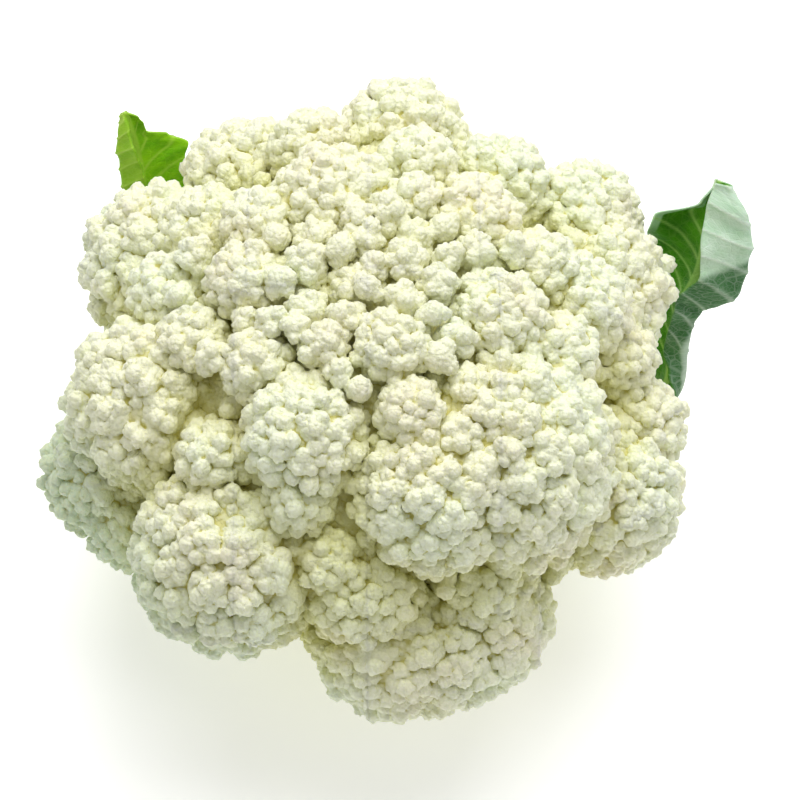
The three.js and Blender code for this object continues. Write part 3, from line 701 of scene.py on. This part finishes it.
def halfBlade(leaf, half, hand, shares, spine, side, face):  # from the midrib to one edge
    blade = leafBlade
    teeth = leaf["teeth"] * np.sin(2 * math.pi * blade["toothCount"] * shares + leaf["phase"] + hand)
    width = along(half["width"], shares) * (1 + teeth * easeStep(shares, *blade["toothFrom"]))
    lean, fold = (np.radians(along(half[name], shares)) for name in ("lean", "fold"))
    foldAt = along(half["foldAt"], shares)
    slant = np.hypot(1, np.gradient(width, shares * blade["length"]))
    step = (width / blade["steps"])[:, None]
    order = np.arange(blade["veinCount"]) + blade["veinStagger"] * (hand > 0)
    starts = (blade["veinFrom"] + blade["veinSpan"] * order / blade["veinCount"])[:, None]
    broad, taper = blade["veinTaper"]
    point, columns = spine.copy(), []
    for k in range(1, blade["steps"] + 1):
        place = k / blade["steps"]
        folded = easeStep(place, foldAt - blade["foldSpread"], foldAt + blade["foldSpread"])
        turn = (lean + fold * folded)[:, None]
        point = point + step * (side * np.cos(turn) + face * np.sin(turn))
        normal = face * np.cos(turn) - side * np.sin(turn)
        climb = blade["veinLean"] * place * (1 - blade["veinBend"] * place)  # veins run up towards the edge
        gap = (np.abs(shares - starts - climb) * blade["length"]).min(0)  # to the nearest vein
        vein = np.exp(-(gap / (blade["veinWidth"] * (broad - taper * place))) ** 2)
        reach = step[:, 0] * k
        wave = ripple(blade["ruffle"], place, shares, 0)
        wave = wave + ripple(blade["frill"], place, shares, leaf["phase"])
        swell = blade["quilt"] * (1 - np.exp(-(gap / blade["quiltWidth"]) ** 2))
        swell = swell * easeStep(reach, *blade["quiltFrom"])
        columns.append((point + normal * (wave + swell)[:, None], normal, reach * hand,
                        (width - reach) / slant, vein * easeStep(shares, *blade["veinFade"])))
    return columns


def makeLeaf(name, node, leaf, material):
    shares = np.linspace(0, 1, leafBlade["stations"] + 1)
    spine = midribLine(leaf["midrib"], shares)
    tangent = unitRows(midribLine(leaf["midrib"], shares + 1e-4) - midribLine(leaf["midrib"], shares - 1e-4))
    face = np.array(leaf["face"])
    face = unitRows(face - tangent * (tangent @ face)[:, None])
    side = np.cross(tangent, face)
    left = halfBlade(leaf, leaf["left"], -1, shares, spine, -side, face)
    right = halfBlade(leaf, leaf["right"], 1, shares, spine, side, face)
    zeros = np.zeros(len(shares))
    middle = (spine, face, zeros, zeros + leafBlade["middleEdge"], zeros)
    place, normal, reach, edge, vein = (np.stack(column, 1) for column in zip(*left[::-1], middle, *right))
    rib = np.exp(-(reach / leafBlade["ribReach"]) ** 2)
    extra = (along(leaf["rib"], shares)[:, None] - leafBlade["thickness"]) * rib
    above = leafBlade["thickness"] / 2 + leafBlade["ribInside"] * extra + leafBlade["veinInside"] * vein
    below = leafBlade["thickness"] / 2 + leafBlade["ribOutside"] * extra + leafBlade["veinHeight"] * vein
    sheets = np.concatenate((place + normal * above[..., None], place - normal * below[..., None]))
    long, wide = place.shape[:2]
    number = np.arange(long * wide).reshape(long, wide)
    quads = np.stack((number[:-1, :-1], number[:-1, 1:], number[1:, 1:], number[1:, :-1]), -1).reshape(-1, 4)
    rim = np.concatenate((number[0], number[1:, -1], number[-1, -2::-1], number[-2:0:-1, 0]))
    after = np.roll(rim, -1)
    band = np.stack((after, rim, rim + long * wide, after + long * wide), -1)
    loops = np.concatenate((quads, quads[:, ::-1] + long * wide, band))
    mesh = bpy.data.meshes.new(name)
    mesh.from_pydata((sheets.reshape(-1, 3) * mm).tolist(), [], loops.tolist())
    mesh.polygons.foreach_set("use_smooth", [True] * len(mesh.polygons))
    lengthwise = np.repeat((shares * leafBlade["length"])[:, None], wide, 1)
    setValues(mesh, "inside", np.repeat((1.0, 0.0), long * wide))
    grids = {"vein": vein, "rib": rib, "lengthwise": lengthwise, "across": reach, "edge": edge}
    for label, grid in grids.items():
        setValues(mesh, label, np.tile(grid.ravel(), 2))
    mesh.materials.append(material)
    print(name, len(mesh.polygons), "faces")
    finishPiece(showObject(name, mesh), node)


def leafMaterial(name, leaf):
    blade = leafBlade
    material, maker = newMaterial(name, leaf["inside"][1])
    inner, vein, rib, lengthwise, across, edge = (
        maker.attribute(label) for label in ("inside", "vein", "rib", "lengthwise", "across", "edge"))
    place = maker.add("ShaderNodeCombineXYZ", None, {0: lengthwise, 1: across})
    speck = maker.noise(place, *blade["speck"])
    coarse, fine = (
        maker.ease(maker.cells(place, "DISTANCE_TO_EDGE", scale, randomness), line, 0.0, 0, strength)
        for scale, randomness, line, strength in blade["nets"])
    net = maker.maths("MAXIMUM", coarse, fine)
    blend = maker.ease(maker.noise(place, *blade["mottle"]) + blade["speckShare"] * speck, *blade["blend"])
    inside = maker.mix(blend, *leaf["inside"])
    inside = maker.mix(net * blade["netShare"], inside, leaf["insideVein"])
    # painted shadow: the underside is dark up to a slanted line near the tip, where the folded flap shades
    # it, and pale past it
    aside = maker.maths("ABSOLUTE", across) - blade["tipMiddle"]
    tip = maker.ease(lengthwise + blade["tipSlant"] * aside, *leaf["tipFrom"])
    under = maker.mix(tip, maker.mix(blend, *leaf["under"]), maker.mix(blend, *leaf["underTip"]))
    under = maker.mix(net * blade["netShare"], under, leaf["underVein"])
    waxy = maker.ease(edge, leaf["waxyRim"], blade["rimSoft"] * leaf["waxyRim"])
    waxy = waxy * maker.ease(lengthwise, *blade["rimFrom"])
    inside = maker.mix(waxy * blade["rimShare"], inside, leaf["underTip"][0])  # a pale margin
    skin = maker.mix(inner, under, inside)
    # veins fade in the painted shadow
    clear = maker.maths("MAXIMUM", inner, blade["veinClear"] + (1 - blade["veinClear"]) * tip)
    lines = maker.maths("MAXIMUM", vein, maker.ease(rib - blade["ribFace"] * inner, *blade["ribEdge"]))
    veins = maker.mix(inner, leaf["underVein"], leaf["insideVein"])
    skin = maker.mix(lines * clear * blade["veinShare"], skin, veins)
    skin = maker.mix(maker.ease(lengthwise, *blade["petioleTo"]), skin, leaf["petiole"])
    smooth, underRough, speckRough = blade["roughness"]
    maker.surface({
        "Base Color": skin, "Roughness": smooth + underRough * (1 - inner) + speckRough * speck,
        "Normal": maker.bump(*blade["bump"], speck * blade["speckBump"] - net * blade["netBump"]),
        "Specular IOR Level": blade["specular"], "Subsurface Weight": blade["subsurface"],
        "Subsurface Radius": inMetres(blade["subsurfaceReach"]), "Subsurface Scale": 1.0})
    return material


# the cut stalk with the stubs of the trimmed leaves, in mm and degrees, with its colours
stalk = {
    "profile": [(21, 0), (21.2, 0.6), (20.6, 6), (19.7, 13), (19.5, 18), (20, 25), (20.6, 31), (19, 36)],
    "around": 72, "plainBelow": 1, "ridges": [(0.012, 5, 0.2), (0.008, 11, 0)],  # depth, count, twist
    "firstBearing": 10, "firstStub": 2, "stubs": 5, "stubAround": 40, "stubRings": 14,
    "foot": 21, "length": 25, "root": 8, "halfWidth": 10, "narrowing": 0.3, "thickness": 8, "height": 11,
    "lift": 4, "channel": 2.2, "channelWidth": 4.5, "voxel": 0.75,
    "preview": (0.75, 0.82, 0.55), "fibres": (900, 900, 90), "fibreDetail": 4.0, "patches": (70.0, 3.0),
    "skin": ((0.55, 0.66, 0.30), (0.72, 0.76, 0.46)), "skinRange": (0.35, 0.7),
    "fibreColour": (0.80, 0.82, 0.58), "fibreRange": (0.5, 0.75, 0, 0.4),
    "pith": ((0.80, 0.79, 0.60), (0.62, 0.66, 0.36)), "pithReach": (12, 17.5),
    "ring": (0.42, 0.40, 0.20), "ringReach": (18.6, 20.4),
    "dry": (0.55, 0.45, 0.26), "dryRange": (0.5, 0.75, 0, 0.4),
    "stubEnd": ((0.72, 0.74, 0.46), (0.58, 0.54, 0.30)), "stubRange": (0.4, 0.7),
    "stubEndFrom": 44.8, "cutBelow": 0.6, "bump": (0.4, 0.8),
    "roughness": (0.45, 0.25),  # of all, more on patches
    "subsurface": 0.15, "subsurfaceReach": (4, 4, 2)}


def loftRings(rings):  # closed skin through rings of points
    rings = np.array(rings)
    count, size = rings.shape[:2]
    number = np.arange(count * size).reshape(count, size)
    after = np.roll(number, -1, axis=1)
    faces = np.stack((number[:-1], after[:-1], after[1:], number[1:]), -1).reshape(-1, 4).tolist()
    return rings.reshape(-1, 3), faces + [number[0, ::-1].tolist(), number[-1].tolist()]


def stalkBody():
    angles = np.linspace(0, 2 * math.pi, stalk["around"], endpoint=False)
    rings = []
    for radius, height in stalk["profile"]:
        uneven = np.ones(len(angles))
        for depth, count, twist in stalk["ridges"] if height > stalk["plainBelow"] else []:
            uneven = uneven + depth * np.sin(count * angles + height * twist)
        uneven = radius * uneven
        rings.append(np.stack((uneven * np.cos(angles), uneven * np.sin(angles), 0 * angles + height), -1))
    return loftRings(rings)


def leafStub(i):
    turn = math.radians(stalk["firstBearing"] + (i + stalk["firstStub"]) * goldenAngle)
    out = np.array((math.cos(turn), math.sin(turn), 0))
    side = np.array((-math.sin(turn), math.cos(turn), 0))
    run = stalk["length"] + stalk["root"]
    around = np.linspace(0, 2 * math.pi, stalk["stubAround"], endpoint=False)
    rings = []
    for share in np.linspace(0, 1, stalk["stubRings"]):
        rise = stalk["height"] - i + stalk["lift"] * share ** 2
        spine = out * (stalk["foot"] - stalk["root"] + run * share) + (0, 0, rise)
        lean = math.atan2(2 * stalk["lift"] * share, run)
        up = np.array((0, 0, math.cos(lean))) - out * math.sin(lean)
        across = stalk["halfWidth"] * (1 - stalk["narrowing"] * share) * np.cos(around)
        sunk = stalk["channel"] * (np.sin(around) > 0) * np.sin(around)  # channelled above
        high = stalk["thickness"] / 2 * np.sin(around) - sunk * np.exp(-(across / stalk["channelWidth"]) ** 2)
        rings.append(spine + across[:, None] * side + high[:, None] * up)
    return loftRings(rings)


def makeStalk(material):
    points, faces, count = [], [], 0
    for places, loops in [stalkBody()] + [leafStub(i) for i in range(stalk["stubs"])]:
        points.append(places)
        faces += [[count + k for k in loop] for loop in loops]
        count += len(places)
    mesh = bpy.data.meshes.new("stalk_cut")
    mesh.from_pydata((np.concatenate(points) * mm).tolist(), [], faces)
    holder = showObject("stalk_cut", mesh)
    remesh = holder.modifiers.new("fuse", "REMESH")
    remesh.mode = "VOXEL"
    remesh.voxel_size = stalk["voxel"] * mm
    remesh.use_smooth_shade = True
    graph = bpy.context.evaluated_depsgraph_get()
    fused = bpy.data.meshes.new_from_object(holder.evaluated_get(graph), depsgraph=graph)
    holder.modifiers.clear()
    holder.data = fused
    fused.materials.clear()
    fused.materials.append(material)
    print("stalk", len(fused.polygons), "faces")
    finishPiece(holder, "stalk")


def stalkMaterial():
    material, maker = newMaterial("paleStalk", stalk["preview"])
    place = maker.add("ShaderNodeTexCoord", None, None, "Object")
    x = maker.add("ShaderNodeSeparateXYZ", None, {0: place})
    y, z = x.also("Y"), x.also("Z")
    radius = maker.maths("SQRT", x * x + y * y)
    fibres = maker.noise(maker.vectors("MULTIPLY", place, stalk["fibres"]), 1.0, stalk["fibreDetail"])
    patches = maker.noise(place, *stalk["patches"])
    skin = maker.mix(maker.ease(patches, *stalk["skinRange"]), *stalk["skin"])
    skin = maker.mix(maker.ease(fibres, *stalk["fibreRange"]), skin, stalk["fibreColour"])
    pith = maker.mix(maker.ease(radius, *inMetres(stalk["pithReach"])), *stalk["pith"])
    pith = maker.mix(maker.ease(radius, *inMetres(stalk["ringReach"])), pith, stalk["ring"])
    pith = maker.mix(maker.ease(patches, *stalk["dryRange"]), pith, stalk["dry"])
    stubEnd = maker.mix(maker.ease(patches, *stalk["stubRange"]), *stalk["stubEnd"])
    colour = maker.mix(radius > mm * stalk["stubEndFrom"], skin, stubEnd)
    colour = maker.mix(z < mm * stalk["cutBelow"], colour, pith)
    smooth, patchRough = stalk["roughness"]
    maker.surface({
        "Base Color": colour, "Roughness": smooth + patchRough * patches,
        "Normal": maker.bump(*stalk["bump"], fibres), "Subsurface Weight": stalk["subsurface"],
        "Subsurface Radius": inMetres(stalk["subsurfaceReach"]), "Subsurface Scale": 1.0})
    return material


# floor, light and camera, in metres
stage = {
    "floorHalf": 3, "floorColour": (0.9, 0.9, 0.9), "floorRoughness": 0.9, "floorGlow": 0.42,
    "worldStrength": 0.34, "lampAim": (0, 0, 0.06),
    "lamps": [  # name, place, size, power
        ("softKey", (0.12, 0.6, 1.3), 1.3, 21.5), ("fill", (-0.9, -0.7, 0.9), 0.9, 0.5)],
    "aim": (0.0092, 0, 0.064), "distance": 1, "lens": 166, "clipEnd": 20}


def lookAt(thing, aim):
    thing.rotation_euler = (Vector(aim) - thing.location).to_track_quat("-Z", "Y").to_euler()


def makeStage():
    half = stage["floorHalf"]
    floorMesh = bpy.data.meshes.new("floor")
    corners = [(-half, -half, 0), (half, -half, 0), (half, half, 0), (-half, half, 0)]
    floorMesh.from_pydata(corners, [], [(0, 1, 2, 3)])
    floor = showObject("floor", floorMesh)
    material, maker = newMaterial("paleFloor", stage["floorColour"])
    maker.surface({"Base Color": (*stage["floorColour"], 1), "Roughness": stage["floorRoughness"],
                   "Emission Color": (1, 1, 1, 1), "Emission Strength": stage["floorGlow"]})
    floorMesh.materials.append(material)
    world = bpy.data.worlds.new("studio")
    world.use_nodes = True
    background = world.node_tree.nodes["Background"]
    background.inputs["Color"].default_value = (1, 1, 1, 1)
    background.inputs["Strength"].default_value = stage["worldStrength"]
    bpy.context.scene.world = world
    for name, spot, size, power in stage["lamps"]:
        lamp = bpy.data.lights.new(name, "AREA")
        lamp.size = size
        lamp.energy = power
        light = showObject(name, lamp)
        light.location = spot
        lookAt(light, stage["lampAim"])
    lens = bpy.data.cameras.new("camera")
    lens.lens = stage["lens"]
    lens.clip_end = stage["clipEnd"]
    camera = showObject("camera", lens)
    rise = math.radians(curd["viewRise"])
    camera.location = Vector(stage["aim"]) + stage["distance"] * Vector((0, -math.cos(rise), math.sin(rise)))
    lookAt(camera, stage["aim"])
    bpy.context.scene.camera = camera
    bpy.context.scene.view_settings.view_transform = "Standard"
    print("stage with", len(stage["lamps"]), "lamps")


makeCurd()
makeStalk(stalkMaterial())
makeLeaf("leaf_young_left", "leaf_left", leafLeft, leafMaterial("youngLeaf", leafLeft))
makeLeaf("leaf_blue_right", "leaf_right", leafRight, leafMaterial("blueLeaf", leafRight))
makeStage()
